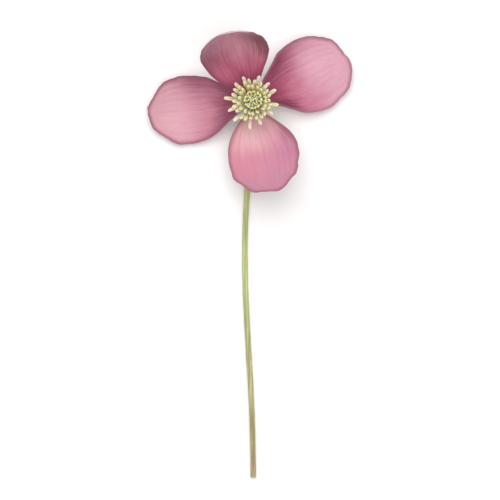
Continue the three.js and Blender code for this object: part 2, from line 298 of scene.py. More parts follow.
# The ribs run out on the receptacle
seat_radii, seat_heights = zip(*SEAT_PROFILE)
for vertex in stalk.data.vertices:
    level = (vertex.co - seat_top).dot(lean_axis)
    axis_point = seat_top + lean_axis * level
    spoke = vertex.co - axis_point
    above_neck = level > seat_heights[0] + NEAR
    if above_neck and spoke.length < 2 * SEAT_RADIUS:
        even = spoke.normalized() * np.interp(level, seat_heights, seat_radii)
        vertex.co = axis_point + spoke.lerp(even, RIBS_RUN_OUT)

# The whole is a little uneven: how many swells a millimetre, and how high they are
SWELLS = [(0.35, 0.05), (2.1, 0.02)]
stalk.data.update()
outwards = [vertex.normal.copy() for vertex in stalk.data.vertices]
for vertex, outward in zip(stalk.data.vertices, outwards):
    swell = sum(noise.noise(vertex.co * count) * height for count, height in SWELLS)
    vertex.co += outward * swell
    vertex.co.z = max(vertex.co.z, 0)

# Down of short white hairs, denser on the neck, up to the foot of the receptacle. None grow low
# down, where the stalk lies on the table.
DOWN_COUNT = 1800
DOWN_ON_NECK = 0.24
DOWN_LENGTH = 0.32
DOWN_RADIUS = 0.012
DOWN_SUNK = 0.15
DOWN_LEAN = 0.6
DOWN_BEND = 0.5
DOWN_TOP = 0.5
BARE_BELOW = 0.27
TIP_CLEARANCE = 0.03
LYING_LENGTH = STALK_REACH + NECK_START_Y
NECK_LENGTH = NECK_RADIUS * NECK_TURN
SIDEWAYS = Vector((1, 0, 0))


def axis_at(reach):
    """A point of the stalk's axis and the way it runs there, at a reach from the neck's start."""
    if reach < 0:
        return stalk_centre(-reach / LYING_LENGTH), Vector((0, 1, 0))
    turn = min(reach / NECK_RADIUS, NECK_TURN)
    way = Vector((0, math.cos(turn), math.sin(turn)))
    y = NECK_START_Y + NECK_RADIUS * math.sin(turn)
    z = STALK_RADIUS + NECK_RADIUS * (1 - math.cos(turn))
    return Vector((0, y, z)) + way * (reach - turn * NECK_RADIUS), way


down = []
hair_shares = (0, 1 - DOWN_ON_NECK, 1)
hair_reaches = (-LYING_LENGTH, 0, NECK_LENGTH + DOWN_TOP)
for i in range(DOWN_COUNT):
    reach = np.interp(vary(i * 1.7 + 3), hair_shares, hair_reaches)
    middle, way = axis_at(reach)
    skin_radius = np.interp(reach - NECK_LENGTH - SEAT_HEIGHT, seat_heights, seat_radii)
    around = vary(i + 0.2) * math.tau
    spoke = SIDEWAYS * math.cos(around) + way.cross(SIDEWAYS) * math.sin(around)
    root = middle + spoke * (skin_radius - DOWN_SUNK)
    lean = Vector([vary(i + draw) - 0.5 for draw in (0.1, 0.3, 0.4)]) * DOWN_LEAN
    direction = (spoke + lean).normalized()
    length = DOWN_SUNK + DOWN_LENGTH * (0.5 + vary(i + 0.8))
    if root.z > BARE_BELOW and (root + direction * length).z > TIP_CLEARANCE:
        down.append((root, direction, way * DOWN_BEND * vary(i + 0.6), length))
stalk_down = needles("stalk_down", down, DOWN_RADIUS)

# Green skin, in long streaks, turning reddish towards the cut end. Ruddiness starts from a level
# at the frame's middle and grows by so much a metre.
STREAKS_A_METRE = (2600, 120, 2600)
PATCHES_A_METRE = 160
RUDDY_LEVEL = 0.34
RUDDY_GROWTH = -11
RUDDY_PATCHED = 0.3
skin_finish = Finish("stalk_skin", Subsurface_Weight=0.12, Subsurface_Scale=0.0006,
                     Sheen_Weight=0.25, Sheen_Roughness=0.5, Specular_IOR_Level=0.4)
where = skin_finish.place()
streaks = skin_finish.clouds(skin_finish.stretch(where, STREAKS_A_METRE), 1, 4)
patches = skin_finish.clouds(where, PATCHES_A_METRE, 3)
forward = skin_finish.part(where, "Y")
ruddiness = skin_finish.math("MULTIPLY_ADD", forward, RUDDY_GROWTH, RUDDY_LEVEL)
ruddiness = skin_finish.math("MULTIPLY_ADD", patches, RUDDY_PATCHED, ruddiness)
bright = skin_finish.span(streaks, 0.3, 0.7)
green = skin_finish.mix(bright, colour(0x919A5A), colour(0xC0C688))
ruddy = skin_finish.mix(bright, colour(0x8A5850), colour(0xBF9C80))
skin_base = skin_finish.mix(skin_finish.span(ruddiness, 0.55, 1.15, 0.0, 0.85), green, ruddy)
skin_finish.bump(streaks, 0.00012)
stalk.data.materials.append(
    skin_finish.wear(skin_base, skin_finish.span(patches, 0.2, 0.8, 0.45, 0.62))
)

# Pale spongy pith, on the cut face
pith_finish = Finish("stalk_pith", Subsurface_Weight=0.2, Subsurface_Scale=0.0005)
grain = pith_finish.clouds(pith_finish.place(), 9000, 3)
pith_base = pith_finish.mix(grain, colour(0xC6BE92), colour(0xE8E6CC))
pith_finish.bump(grain, 0.00005)
stalk.data.materials.append(pith_finish.wear(pith_base, pith_finish.span(grain, 0, 1, 0.6, 0.8)))
cut_depth = PITH_HOLLOW + 2 * NEAR
for polygon in stalk.data.polygons:
    at_cut_end = polygon.center.y < cut_end.y + cut_depth
    polygon.material_index = int(at_cut_end and abs(polygon.normal.y) > 0.9)

down_finish = Finish("silky_down", Subsurface_Weight=0.3, Subsurface_Scale=0.0002,
                     Sheen_Weight=0.4)
tints = down_finish.clouds(down_finish.place(), 700, 2)
down_base = down_finish.mix(tints, colour(0xD3D2B2), colour(0xF1F0E2))
stalk_down.data.materials.append(
    down_finish.wear(down_base, down_finish.span(tints, 0, 1, 0.35, 0.55))
)

to_frame(stalk)
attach(stalk, "root")
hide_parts("pedicel")
to_frame(stalk_down)
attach(stalk_down, "root")


# Sepals
# Four broad blades of soft silky tissue, a third of a millimetre thick and thinner at the margin.
# Each is grown flat in the bud, then cups, waves and bends back as it opens. The claw at its foot
# grows out of the receptacle. The left and right ones lie with their bellies on the table.

FRAME_GAP = 0.3
CLAW_RADIUS = SEAT_RADIUS + FRAME_GAP
CLAW_SUNK = 0.55
CLAW_HALF = 1.2
CLAW_CURL = 0.2
CLAW_END = 0.36
BLADE_THICK = 0.36
MARGIN_THIN = 0.3
FRAME_BLADE_THICK = 0.6
CLAW_Z = SEAT_TOP_Z - SEAT_RIM - FRAME_BLADE_THICK
WIDEST_AT = 0.57
TIP_ROUND = 2.2
BROAD_LOBES = 5
SMALL_NOTCHES = 9
FINE_NIBBLES = 31
NIBBLE_DEPTH = 0.004
MARGIN_FROM = 0.35
MARGIN_WAVES = 9
OTHER_MARGIN_PHASE = 2
PRESSED = 0.12
STEEPEST_CLAW = -60.0
HALVINGS = 20
ROWS = 132
ROWS_BELOW = 0.6
CELLS_ACROSS = 92
LAST_ROW_TURN = math.radians(84)

# Marks along the midrib, from below the claw to past the tip, between which its slopes are added
# up, marks along the belly, of which the lowest lies on the table, and marks along the rim, closer
# towards the tip, from which distances are measured
MIDRIB_MARKS = np.linspace(-0.05, 1.1, 461)
BELLY_MARKS = np.linspace(0, 1, 101)
RIM_MARKS = np.concatenate([np.linspace(0, 0.9, 120), np.linspace(0.9, 1, 60)])

# Relief of the blade: sunken ribs, soft pleats between them, puckers, and a frilled margin
RIBS_A_SIDE = 3
RIB_SINK = 0.035
RIB_SOFT = 0.16
RIBS_FADE_IN = (0.02, 0.2)
RIBS_FADE_OUT = (0.8, 1.0)
PLEAT_HEIGHT = 0.03
PUCKER_HEIGHT = 0.07
PUCKER_SIZE = 2.4
FRILL_HEIGHT = 0.13
FRILL_SIZE = 1.7
FRILL_REACH = 2.2
FRILL_FADE_IN = (0.12, 0.4)

# Drawn veins: how many a side, how wide as a share of their spacing, how strong, and from where
VEINS = [
    (RIBS_A_SIDE, 0.13, 1.0, -0.25),
    (2 * RIBS_A_SIDE, 0.10, 0.7, 0.08),
    (4 * RIBS_A_SIDE, 0.14, 0.5, 0.28),
    (8 * RIBS_A_SIDE, 0.20, 0.4, 0.48),
]
VEIN_FADE_IN = 0.25
VEIN_VEER = 0.083
VEIN_STRENGTH = 0.24
NET_WIDTH = 0.07
NET_STRENGTH = 0.24
FIBRE_STRENGTH = 0.16
RIM_WIDTH = 1.1
RIM_STRENGTH = 0.85

# Patterns that follow the blade: how many from claw to tip, and how many from midrib to margin
BLADE_STREAKS = (3.0, 17.0)
BLADE_PATCHES = (4.0, 2.6)
BLADE_FIBRES = (9.0, 64.0)
BACK_STREAKS = (3.0, 20.0)

# The net between the veins: how many meshes from claw to tip, and how many a millimetre across.
# Then the cells of the skin.
NET_LENGTHWISE = 30.0
NET_SIDEWAYS = 2.9
CELLS_A_METRE = (5200, 5200, 5200)

# How far streaks and patches stir the tones along the blade and feather the spots of blush and painted
# shade, and how much less a way across the blade counts than one along it, squared
TONE_STREAKED = 0.22
TONE_PATCHED = 0.3
SPOT_FEATHER = 0.26
SPOT_ACROSS = 0.13

# As in the frame: azimuth, length and width, how fast the shoulder of either side widens, slope
# of the midrib at claw, middle and tip, cup across, roll, margin waves, outline lobes and notches,
# and the margin that curls up most
SEPALS = [
    dict(name="top", azimuth=110.5, length=21.8, width=15.3, shoulders=(0.8, 0.7),
         slopes=(14, 58, 112), cup=38, roll=-11, wave=0.35, phase=0.8, lobe=0.02, notch=0.015,
         curl=0.5, curl_side=1, rests=False),
    dict(name="right", azimuth=27.5, length=20.9, width=16.2, shoulders=(0.8, 0.45),
         slopes=(-27, -7, 34), cup=26, roll=2, wave=0.35, phase=2.4, lobe=0.025, notch=0.015,
         curl=1.5, curl_side=1, rests=True),
    dict(name="bottom", azimuth=281, length=19.2, width=15.2, shoulders=(0.5, 0.75),
         slopes=(4, 22, 40), cup=26, roll=4, wave=0.35, phase=4.1, lobe=0.02, notch=0.035,
         curl=0.9, curl_side=1, rests=False),
    dict(name="left", azimuth=184.5, length=20.6, width=14.6, shoulders=(0.55, 0.8),
         slopes=(-27, -7, 34), cup=26, roll=-3, wave=0.35, phase=5.5, lobe=0.025, notch=0.015,
         curl=1.0, curl_side=-1, rests=True),
]


def smoothstep(value, low, high):
    share = np.clip((value - low) / (high - low), 0, 1)
    return share * share * (3 - 2 * share)


def half_width(sepal, along, across):
    """Half the width of the flat blade, from the claw at 0 to the tip at 1, on either side."""
    widest = sepal["width"] / 2
    shoulder = np.where(across < 0, *sepal["shoulders"])
    opening = np.sin(np.pi / 2 * np.clip(along / WIDEST_AT, 0, 1)) ** shoulder
    closing = np.clip((along - WIDEST_AT) / (1 - WIDEST_AT), 0, 1)
    return (CLAW_HALF + (widest - CLAW_HALF) * opening) * np.sqrt(1 - closing ** TIP_ROUND)


def lobed(sepal, along, across):
    """Pushes the outline of the outer half in and out, in broad lobes, notches and nibbles."""
    forward = (along - WIDEST_AT) / (1 - WIDEST_AT)
    sideways = across * half_width(sepal, along, across) / (sepal["width"] / 2)
    reach = np.minimum(1, np.hypot(forward, sideways))
    around = np.arctan2(sideways, forward)
    phase = sepal["phase"]
    lobes = (sepal["lobe"] * np.cos(BROAD_LOBES * around + phase)
             + sepal["notch"] * np.cos(SMALL_NOTCHES * around - 2 * phase)
             + NIBBLE_DEPTH * np.cos(FINE_NIBBLES * around + 3 * phase))
    return 1 + lobes * reach ** 2 * smoothstep(forward, 0, 1 - WIDEST_AT)


def midrib_slope(sepal, along):
    claw, middle, tip = sepal["slopes"]
    return np.radians(claw * (1 - along) * (1 - 2 * along)
                      + 4 * middle * along * (1 - along)
                      + tip * along * (2 * along - 1))


def midrib_point(sepal, along):
    """How far out and up the midrib has come: its slopes added up from the claw."""
    marks = MIDRIB_MARKS
    slopes = midrib_slope(sepal, (marks[1:] + marks[:-1]) / 2)
    stride = sepal["length"] * (marks[1] - marks[0])
    out = np.concatenate([[0], np.cumsum(stride * np.cos(slopes))])
    up = np.concatenate([[0], np.cumsum(stride * np.sin(slopes))])
    lean_lift = CLAW_RADIUS * math.sin(FLOWER_LEAN) * math.sin(math.radians(sepal["azimuth"]))
    out += CLAW_RADIUS - np.interp(0, marks, out)
    up += CLAW_Z + lean_lift - np.interp(0, marks, up)
    return np.interp(along, marks, out), np.interp(along, marks, up)


def settled(sepal):
    """Bends the claw of a resting sepal down until the blade's belly presses on the table."""
    if not sepal["rests"]:
        return sepal
    steep, gentle = STEEPEST_CLAW, 0.0
    for _ in range(HALVINGS):
        claw = (steep + gentle) / 2
        bent = dict(sepal, slopes=(claw,) + sepal["slopes"][1:])
        if midrib_point(bent, BELLY_MARKS)[1].min() > -PRESSED:
            gentle = claw
        else:
            steep = claw
    return bent


def blade_relief(sepal, along, across, flat):
    """How much higher or lower than smooth the blade is, in millimetres."""
    rib = np.abs((across * RIBS_A_SIDE + 0.5) % 1 - 0.5)
    fade = smoothstep(along, *RIBS_FADE_IN) * (1 - smoothstep(along, *RIBS_FADE_OUT))
    relief = -RIB_SINK * np.exp(-(rib / RIB_SOFT) ** 2) * fade
    relief += PLEAT_HEIGHT * (0.5 - np.cos(2 * np.pi * RIBS_A_SIDE * 2 * across) / 2) * fade
    margin = np.clip(1 - flat["edge"] / FRILL_REACH, 0, 1) ** 2
    margin *= smoothstep(along, *FRILL_FADE_IN)
    seed = sepal["azimuth"]
    for i, (x, y) in enumerate(zip(flat["x"], flat["y"])):
        pucker = noise.noise(Vector((x / PUCKER_SIZE, y / PUCKER_SIZE, seed)))
        frill = noise.noise(Vector((x / FRILL_SIZE, y / FRILL_SIZE, seed + 7)))
        relief[i] += PUCKER_HEIGHT * pucker * fade[i] + FRILL_HEIGHT * 2 * frill * margin[i]
    return relief


def flat_blade(sepal, along, across):
    """The blade before it bends: its places, and how far each lies from the margin."""
    x = along * sepal["length"]
    y = across * half_width(sepal, along, across)
    rim_x = np.tile(RIM_MARKS * sepal["length"], 2)
    rim_y = np.concatenate([half_width(sepal, RIM_MARKS, 1), -half_width(sepal, RIM_MARKS, -1)])
    edge = np.hypot(x[:, None] - rim_x, y[:, None] - rim_y).min(axis=1)
    return {"x": x, "y": y, "edge": edge}


def blade_places(sepal, along, across, flat):
    """The front of the bent, cupped and waved blade, growing along +X from the flower's axis."""
    scale = lobed(sepal, along, across)
    place = np.where(along > WIDEST_AT, WIDEST_AT + (along - WIDEST_AT) * scale, along)
    out, up = midrib_point(sepal, place)
    slope = midrib_slope(sepal, np.minimum(place, 1))
    side = across * half_width(sepal, along, across) * scale

    blade_curl = math.radians(sepal["cup"]) / (sepal["width"] / 2)
    curl = CLAW_CURL + (blade_curl - CLAW_CURL) * smoothstep(along, 0, CLAW_END)
    bend = curl * side
    outer = np.maximum(0, np.abs(across) - MARGIN_FROM) / (1 - MARGIN_FROM)
    body = np.sin(np.pi * np.clip(along, 0, 1))
    phase = sepal["phase"] + np.where(across > 0, 0, OTHER_MARGIN_PHASE)
    wave = sepal["wave"] * outer ** 2 * body * np.sin(MARGIN_WAVES * along + phase)
    rolled_up = sepal["curl"] * np.maximum(0, across * sepal["curl_side"]) ** 4 * body
    sideways = np.sin(bend) / curl
    raised = (1 - np.cos(bend)) / curl + wave + rolled_up

    roll = math.radians(sepal["roll"]) * smoothstep(along, 0, CLAW_END)
    level = np.zeros_like(slope)
    lateral = np.stack([-np.sin(roll) * np.sin(slope), np.cos(roll), np.sin(roll) * np.cos(slope)])
    facing = np.stack([-np.cos(roll) * np.sin(slope), -np.sin(roll), np.cos(roll) * np.cos(slope)])
    normal = facing * np.cos(bend) - lateral * np.sin(bend)
    lift = BLADE_THICK + blade_relief(sepal, along, across, flat)
    return (np.stack([out, level, up]) + lateral * sideways + facing * raised + normal * lift).T


def make_blade(sepal):
    """A fine grid laid over the flat blade, bent to its shape, then given its thickness."""
    bpy.ops.mesh.primitive_grid_add(x_subdivisions=ROWS, y_subdivisions=CELLS_ACROSS, size=2)
    blade = bpy.context.object
    blade.name = blade.data.name = f"sepal_{sepal['name']}_blade"
    mesh = blade.data
    grid = np.empty(len(mesh.vertices) * 3)
    mesh.vertices.foreach_get("co", grid)
    share, across = (grid.reshape(-1, 3)[:, 0] + 1) / 2, grid.reshape(-1, 3)[:, 1]
    sunk = CLAW_SUNK / sepal["length"]
    below = -sunk + (WIDEST_AT + sunk) * share / ROWS_BELOW
    turn = LAST_ROW_TURN * np.clip(share - ROWS_BELOW, 0, 1) / (1 - ROWS_BELOW)
    along = np.where(share < ROWS_BELOW, below, WIDEST_AT + (1 - WIDEST_AT) * np.sin(turn))

    flat = flat_blade(sepal, along, across)
    places = blade_places(sepal, along, across, flat)
    mesh.vertices.foreach_set("co", places.ravel())
    charts = {"along": along, "across": across, "aside": flat["y"], "edge": flat["edge"]}
    for name, values in charts.items():
        mesh.attributes.new(name, "FLOAT", "POINT").data.foreach_set("value", values)

    thickness = blade.vertex_groups.new(name="thickness")
    body = 1 - (1 - MARGIN_THIN) * (1 - smoothstep(flat["edge"], 0, FRILL_REACH))
    for i, weight in enumerate(body):
        thickness.add([i], weight, "REPLACE")
    wall = blade.modifiers.new("wall", "SOLIDIFY")
    wall.thickness = BLADE_THICK
    wall.offset = -1
    wall.vertex_group = "thickness"
    wall.material_offset = 1
    wall.material_offset_rim = 0
    mesh.materials.append(sepal["front"])
    mesh.materials.append(sepal["back"])
    bpy.ops.object.modifier_apply(modifier="wall")
    blade.vertex_groups.clear()
    mesh.transform(Matrix.Rotation(math.radians(sepal["azimuth"]), 4, "Z"))
    for vertex in mesh.vertices:
        vertex.co.z = max(vertex.co.z, 0)
    bpy.ops.object.shade_smooth_by_angle(angle=math.radians(60))
    blade.select_set(False)
    return blade


def blade_clouds(finish, along, across, counts, seed, detail):
    """Clouds that follow the blade, with their counts from claw to tip and midrib to margin."""
    lengthwise = finish.math("MULTIPLY", along, counts[0])
    sideways = finish.math("MULTIPLY", across, counts[1])
    return finish.clouds(finish.point(lengthwise, sideways, seed), 1, detail)


def blade_finish(name, stops, rim, vein, seed, blush_shade_and_highlight_spots):
    """The blade's front: a blush that fades outwards, spots of its own blush and of painted shade and
    painted highlight, fine veins, a rim darkened partly in its own colour and partly as painted shade,
    a silky sheen.
    """
    finish = Finish(name, Subsurface_Weight=0.12, Subsurface_Scale=0.0008, Sheen_Weight=0.22,
                    Sheen_Roughness=0.45, Specular_IOR_Level=0.3)
    along, across = finish.attribute("along"), finish.attribute("across")
    streaks = blade_clouds(finish, along, across, BLADE_STREAKS, seed, 4)
    patches = blade_clouds(finish, along, across, BLADE_PATCHES, seed + 5, 2)
    tone = finish.stir(finish.stir(along, streaks, TONE_STREAKED), patches, TONE_PATCHED)
    base = finish.ramp(tone, *stops)
    # Spots over the tones: some are the blade's own blush, the dark ones at the curled margins and by
    # the claw are painted shade, and the light ones are partly painted highlight
    feather = finish.math("MULTIPLY", finish.math("SUBTRACT", streaks, 0.5), SPOT_FEATHER)
    for spot_along, spot_across, size, strength, code in blush_shade_and_highlight_spots:
        away = finish.math("POWER", finish.math("SUBTRACT", along, spot_along), 2.0)
        aside = finish.math("SUBTRACT", across, spot_across)
        aside = finish.math("MULTIPLY", finish.math("POWER", aside, 2.0), SPOT_ACROSS)
        distance = finish.math("ADD", finish.math("SQRT", finish.math("ADD", away, aside)), feather)
        share = finish.span(distance, 0.0, size, strength, 0.0)
        base = finish.mix(share, base, colour(code))

    # Ribs run from claw to tip, finer veins fork from them, and a net fills the rest
    veer = finish.stir(across, patches, VEIN_VEER)
    fading = finish.span(along, 0.5, 1.0, 1.0, 0.35)
    uneven = finish.math("MULTIPLY", finish.span(streaks, 0.35, 0.65, 0.35, 1.0), fading)
    veins = 0.0
    for count, width, strength, starts in VEINS:
        line = finish.math("PINGPONG", finish.math("MULTIPLY", veer, count), 0.5)
        line = finish.math("MULTIPLY", finish.span(line, 0.0, width, strength, 0.0), uneven)
        line = finish.math("MULTIPLY", line, finish.span(along, starts, starts + VEIN_FADE_IN))
        veins = finish.math("MAXIMUM", veins, line)
    lengthwise = finish.math("MULTIPLY", along, NET_LENGTHWISE)
    sideways = finish.math("MULTIPLY", finish.attribute("aside"), NET_SIDEWAYS)
    meshes = {"Vector": finish.point(lengthwise, sideways, seed), "Scale": 1.0}
    net = finish.add("TexVoronoi", meshes, output="Distance", feature="DISTANCE_TO_EDGE")
    veins = finish.math("MAXIMUM", veins, finish.span(net, 0.0, NET_WIDTH, NET_STRENGTH, 0.0))
    base = finish.mix(finish.math("MULTIPLY", veins, VEIN_STRENGTH), base, colour(vein))
    fibres = blade_clouds(finish, along, across, BLADE_FIBRES, seed + 9, 3)
    base = finish.mix(finish.span(fibres, 0.35, 0.7, 0.0, FIBRE_STRENGTH), base, colour(vein))
    # The margin is darkened, partly in its own duskier colour and partly as painted shade
    darkened = finish.span(finish.attribute("edge"), 0.0, RIM_WIDTH, RIM_STRENGTH, 0.0)
    base = finish.mix(darkened, base, colour(rim))

    # The relief is of veins, streaks and single cells
    cells = finish.clouds(finish.stretch(finish.place(), CELLS_A_METRE), 1, 2)
    height = finish.math("MULTIPLY_ADD", veins, -0.6, finish.math("MULTIPLY", cells, 0.4))
    height = finish.math("MULTIPLY_ADD", streaks, 0.5, height)
    finish.bump(height, 0.00005)
    return finish.wear(base, finish.span(streaks, 0.2, 0.8, 0.5, 0.66))


def back_finish():
    """The back: pale silver-pink silk, mauve at the margins, magenta ribs that leave the claw."""
    finish = Finish("sepal_back", Subsurface_Weight=0.12, Subsurface_Scale=0.0008,
                    Sheen_Weight=0.35, Sheen_Roughness=0.4, Specular_IOR_Level=0.3)
    along, across = finish.attribute("along"), finish.attribute("across")
    aside = finish.math("ABSOLUTE", across)
    streaks = blade_clouds(finish, along, across, BACK_STREAKS, 3.0, 4)
    patches = finish.clouds(finish.place(), 140, 2)
    base = finish.mix(finish.span(streaks, 0.3, 0.7), colour(0xC2A0AA), colour(0xDDC4C8))
    green = finish.math("MULTIPLY", finish.span(aside, 0.0, 0.5, 0.5, 0.0),
                        finish.span(along, 0.1, 0.9, 1.0, 0.2))
    base = finish.mix(green, base, colour(0xBDB09A))
    outward = finish.stir(finish.stir(aside, patches, 0.5), streaks, 0.3)
    base = finish.mix(finish.span(outward, 0.4, 1.05, 0.0, 0.85), base, colour(0xB96489))
    rib = finish.math("PINGPONG", finish.math("MULTIPLY", across, RIBS_A_SIDE), 0.5)
    inner = finish.span(aside, 0.42, 0.6, 1.0, 0.25)
    ribs = finish.math("MULTIPLY", finish.span(rib, 0.0, 0.18, 1.0, 0.0), inner)
    ribs = finish.math("MULTIPLY", ribs, finish.span(along, 0.25, 0.8, 1.0, 0.15))
    base = finish.mix(finish.math("MULTIPLY", ribs, 0.8), base, colour(0x963560))
    base = finish.mix(finish.span(along, 0.0, 0.22, 0.8, 0.0), base, colour(0x8E4855))
    base = finish.mix(finish.span(finish.attribute("edge"), 0.0, 1.2, 0.8, 0.0), base,
                      colour(0x8A4B68))
    finish.bump(finish.math("MULTIPLY_ADD", streaks, 0.5, ribs), 0.00006)
    return finish.wear(base, finish.span(streaks, 0.2, 0.8, 0.5, 0.7))


# For each blade: the tones from claw to tip, then spots laid on it, partly its own blushes, partly
# painted shade where its margins curl up and by the claw, and partly painted highlight, each with its
# place along and across, its size as a share of the length, strength and tone
FRONTS = {
    # The top blade is painted darker than the others, partly as shade, because it stands up and turns
    # its face from the light beyond it. Its dark spots at both sides, where the margins curl forward,
    # are painted shade.
    "top": dict(
        stops=[(0.0, 0x8C2F52), (0.25, 0xBA627C), (0.55, 0xD494A2), (0.85, 0xB88391), (1.0, 0xA87C88)],
        rim=0x7F4858, vein=0x8A3C5A, seed=11.0,
        blush_shade_and_highlight_spots=[(0.70, -0.95, 0.38, 0.90, 0x661530), (0.50, -1.05, 0.26, 0.70, 0x74203F),
                 (0.52, 0.80, 0.34, 0.65, 0x7A3150), (0.60, 0.55, 0.14, 0.40, 0xBD8FAD)]),
    "right": dict(
        stops=[(0.0, 0x802845), (0.2, 0x9A4560), (0.4, 0xBC7388), (0.62, 0xCE97A7), (1.0, 0xD8A8B7)],
        rim=0x96667A, vein=0xA8587A, seed=23.0,
        blush_shade_and_highlight_spots=[(0.28, 1.00, 0.34, 0.85, 0x762443), (0.16, -0.90, 0.24, 0.95, 0x5A162E),
                 (0.70, 0.30, 0.30, 0.45, 0xE2AEBF)]),
    "bottom": dict(
        stops=[(0.0, 0xD9B2B2), (0.22, 0xD7A0A9), (0.5, 0xCC8A9C), (0.75, 0xC6889D), (1.0, 0xBE8498)],
        rim=0x935F72, vein=0xB4637F, seed=37.0,
        blush_shade_and_highlight_spots=[(0.22, -0.25, 0.30, 0.60, 0xE6C2C4), (0.62, -0.60, 0.28, 0.45, 0xD58296),
                 (0.50, 0.70, 0.34, 0.55, 0xBC7E9E), (0.28, 1.00, 0.20, 0.60, 0x83405C)]),
    "left": dict(
        stops=[(0.0, 0x86304F), (0.2, 0xA15D73), (0.42, 0xC28292), (0.65, 0xCE99A5), (1.0, 0xD0A0A9)],
        rim=0x875467, vein=0xA05370, seed=51.0,
        blush_shade_and_highlight_spots=[(0.45, -1.00, 0.34, 0.75, 0x7D3D5A), (0.72, 0.40, 0.36, 0.55, 0xDEADB4),
                 (0.12, 0.60, 0.24, 0.60, 0x74334A)]),
}
sepal_back = back_finish()
for sepal in SEPALS:
    front = blade_finish(f"sepal_{sepal['name']}_front", **FRONTS[sepal["name"]])
    blade = make_blade(dict(settled(sepal), front=front, back=sepal_back))
    to_frame(blade)
    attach(blade, "root")
    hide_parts(f"sepal_{sepal['name']}")


# Styles
# The pistils stand in a tight brush in the middle of the flower, each a slender green style that
# ends in a pale tip. Silky hairs cover them, pressed upwards.

PISTIL_RINGS = [
    dict(count=1, root=0.0, height=6.7, lean=0, bow=0.0),
    dict(count=6, root=0.36, height=6.6, lean=1, bow=0.05),
    dict(count=10, root=0.7, height=6.4, lean=1, bow=0.1),
    dict(count=13, root=1.02, height=6.1, lean=1, bow=0.1),
]
TUFT_Z = 0.3
HEIGHT_SPREAD = 0.12
LEAN_SPREAD = 0.3
PLACE_SPREAD = 0.3
SPLAY_TOWARDS = math.radians(195)
SPLAY_MORE = 0.2
STYLE_SIDES = 8
STYLE_THICKER = 0.35
STYLE_SWAY = 0.12
STYLE_PROFILE = [(0.17, 0.0), (0.21, 0.15), (0.22, 0.4), (0.22, 0.6), (0.23, 0.78), (0.22, 0.88),
                 (0.19, 0.94), (0.13, 0.98), (0.05, 1.0)]
SILK_PER_STYLE = 56
SILK_FROM = 0.3
SILK_SPAN = 0.66
SILK_ROOT = 0.15
SILK_LENGTH = 0.8
SILK_RADIUS = 0.02
SILK_LEAN = 0.5
SILK_LEAN_SPREAD = 0.3
SILK_BEND = 0.15

# Thin moist tissue that lets light through, and spreads all its colours nearly alike
CLEAR_TISSUE = dict(
    Subsurface_Weight=1.0, Subsurface_Scale=0.001, Subsurface_Radius=(1.0, 1.0, 0.9),
)


def grow_up(name, profile, sides):
    """An upright closed shape from a profile of radii and the levels that they are at."""
    radius, level = profile[0]
    bpy.ops.mesh.primitive_circle_add(vertices=sides, radius=radius, fill_type="NGON")
    piece = start_piece(name)
    for next_radius, next_level in profile[1:]:
        step = Vector((0, 0, next_level - level))
        extrude_by(step, next_radius / radius, Vector((0, 0, next_level)))
        radius, level = next_radius, next_level
    bpy.ops.mesh.select_all(action="SELECT")
    bpy.ops.mesh.normals_make_consistent(inside=False)
    close_piece(piece, 75)
    return piece


def stands_of(rings, first_seed):
    """Where each growth of a tuft stands, with small differences in height, lean and place."""
    stands = []
    for ring_number, ring in enumerate(rings):
        for i in range(ring["count"]):
            seed = first_seed + 100 * ring_number + i
            place = i + ring_number / 2 + PLACE_SPREAD * vary(seed + 0.71)
            stands.append({
                "seed": seed, "ring": ring_number, "root": ring["root"], "bow": ring["bow"],
                "height": ring["height"] * (1 + HEIGHT_SPREAD * (vary(seed) - 0.5)),
                "lean": math.radians(ring["lean"] * (1 + LEAN_SPREAD * (vary(seed + 0.37) - 0.5))),
                "azimuth": place * math.tau / ring["count"],
            })
            splay = math.cos(stands[-1]["azimuth"] - SPLAY_TOWARDS)
            stands[-1]["lean"] *= 1 + SPLAY_MORE * splay
    return stands


def leaned(point, stand):
    """Leans and bows an upright shape outwards, then carries it to its root."""
    swing = stand["bow"] * (point.z / stand["height"]) ** 2
    out, up = math.sin(stand["lean"]), math.cos(stand["lean"])
    x = stand["root"] + point.x * up + point.z * out + swing
    z = point.z * up - point.x * out
    return Matrix.Rotation(stand["azimuth"], 3, "Z") @ Vector((x, point.y, z + TUFT_Z))


def copy_to(pattern, stand, reshape):
    """A copy with its own mesh, reshaped, leaned and set where it stands."""
    copy = pattern.copy()
    copy.data = pattern.data.copy()
    bpy.context.scene.collection.objects.link(copy)
    for vertex in copy.data.vertices:
        vertex.co = TO_HEART @ leaned(reshape(vertex.co, stand), stand)
    return copy


def join(pieces, name):
    """Makes one piece of several and names it."""
    for piece in pieces:
        piece.select_set(True)
    bpy.context.view_layer.objects.active = pieces[0]
    bpy.ops.object.join()
    pieces[0].name = pieces[0].data.name = name
    pieces[0].select_set(False)
    return pieces[0]


def bend_style(point, stand):
    """Stretches a style of unit height to its own height, and gives it a slow turn."""
    thick = 1 + STYLE_THICKER * (vary(stand["seed"] + 0.77) - 0.5)
    grown = Vector((point.x * thick, point.y * thick, point.z * stand["height"]))
    share = point.z
    grown.x += STYLE_SWAY * math.sin(3 * share + stand["seed"]) * share
    grown.y += STYLE_SWAY * math.cos(2.5 * share + 2 * stand["seed"]) * share
    return grown


style_stands = stands_of(PISTIL_RINGS, 1)
pattern = grow_up("style_pattern", STYLE_PROFILE, STYLE_SIDES)
style_rise = [vertex.co.z for vertex in pattern.data.vertices]
pattern.data.attributes.new("rise", "FLOAT", "POINT").data.foreach_set("value", style_rise)
styles = join([copy_to(pattern, stand, bend_style) for stand in style_stands], "styles")
bpy.data.objects.remove(pattern)

